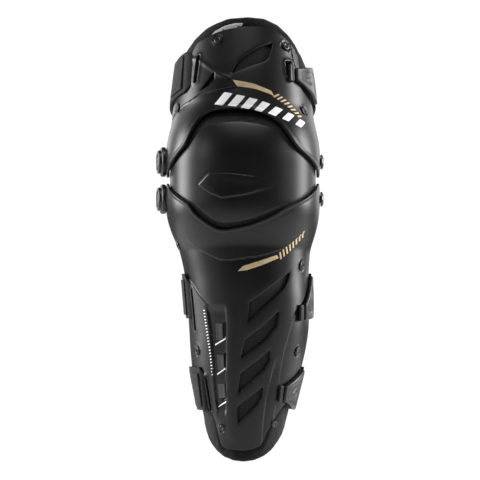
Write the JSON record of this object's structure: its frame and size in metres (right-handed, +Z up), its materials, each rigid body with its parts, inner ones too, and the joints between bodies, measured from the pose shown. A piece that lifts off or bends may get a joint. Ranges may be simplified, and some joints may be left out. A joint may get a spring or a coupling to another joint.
{
  "type": "knee and shin guard",
  "caption": "Hard-shell knee and shin guard with a dual-axis side hinge, a sliding knee cup, padded liner and three hook-buckle straps.",
  "frame": {"origin": "middle of the lower hinge axis, half-way between the lower side pivots", "axes": "+Z up along the leg from shin to thigh, -Y out of the front of the guard, X along the hinge axes"},
  "size_m": [0.1811, 0.1792, 0.4765],
  "materials": {
    "shell_plastic": "satin black moulded plastic with a fine grain",
    "cup_plastic": "smooth semi-gloss black moulded plastic",
    "liner_fabric": "black brushed knit over foam",
    "vent_mesh": "dark grey open mesh",
    "strap_elastic": "black woven elastic webbing",
    "buckle_plastic": "satin black hard plastic",
    "rivet_metal": "black coated rivet heads",
    "cap_plastic": "satin black turned pivot caps",
    "washer_nylon": "white nylon shim washers, hidden"
  },
  "bodies": {
    "cuff": {"cuff_shell": "shell_plastic", "cuff_rivet_top_left": "rivet_metal", "cuff_rivet_top_right": "rivet_metal", "cuff_rivet_side_left": "rivet_metal", "cuff_rivet_side_right": "rivet_metal", "cuff_vent_mesh": "vent_mesh", "cuff_pad": "liner_fabric", "cuff_comfort_pad": "liner_fabric", "thigh_strap": "strap_elastic", "thigh_catch": "buckle_plastic", "pivot_washer_upper_left": "washer_nylon", "pivot_pin_upper_left": "rivet_metal", "pivot_cap_upper_left": "cap_plastic", "pivot_washer_upper_right": "washer_nylon", "pivot_pin_upper_right": "rivet_metal", "pivot_rivet_upper_right": "rivet_metal"},
    "thigh_buckle_tab": {"thigh_buckle": "buckle_plastic"},
    "shin": {"shin_shell": "shell_plastic", "shin_rivet_upper_left": "rivet_metal", "shin_rivet_upper_right": "rivet_metal", "shin_rivet_mid_left": "rivet_metal", "shin_rivet_mid_right": "rivet_metal", "shin_rivet_lower_left": "rivet_metal", "shin_rivet_lower_right": "rivet_metal", "shin_vent_mesh": "vent_mesh", "shin_pad": "liner_fabric", "shin_comfort_pad": "liner_fabric", "calf_strap_upper": "strap_elastic", "calf_strap_lower": "strap_elastic", "calf_catch_upper": "buckle_plastic", "calf_catch_lower": "buckle_plastic", "pivot_washer_lower_left": "washer_nylon", "pivot_pin_lower_left": "rivet_metal", "pivot_cap_lower_left": "cap_plastic", "pivot_washer_lower_right": "washer_nylon", "pivot_pin_lower_right": "rivet_metal", "pivot_rivet_lower_right": "rivet_metal"},
    "knee_cup": {"knee_cup_shell": "cup_plastic", "knee_cup_pad": "liner_fabric"},
    "calf_buckle_upper_tab": {"calf_buckle_upper": "buckle_plastic"},
    "calf_buckle_lower_tab": {"calf_buckle_lower": "buckle_plastic"}
  },
  "joints": [
    {"name": "knee_lower_pivot", "type": "hinge", "parent": "shin", "child": "knee_cup", "pos_m": [0, 0, 0], "axis": [-1, 0, 0], "range_deg": [-4, 32]},
    {"name": "knee_upper_pivot", "type": "hinge", "parent": "knee_cup", "child": "cuff", "pos_m": [0, 0, 0.04], "axis": [-1, 0, 0], "range_deg": [-18, 26]},
    {"name": "thigh_buckle_hook", "type": "hinge", "parent": "cuff", "child": "thigh_buckle_tab", "pos_m": [0.05681, -0.01928, 0.13427], "axis": [0, -0.3746, -0.9272], "range_deg": [0, 35]},
    {"name": "calf_upper_buckle_hook", "type": "hinge", "parent": "shin", "child": "calf_buckle_upper_tab", "pos_m": [0.06606, -0.03331, -0.12205], "axis": [0, 0, -1], "range_deg": [0, 35]},
    {"name": "calf_lower_buckle_hook", "type": "hinge", "parent": "shin", "child": "calf_buckle_lower_tab", "pos_m": [0.04424, -0.04038, -0.20853], "axis": [0, 0, -1], "range_deg": [0, 35]}
  ]
}
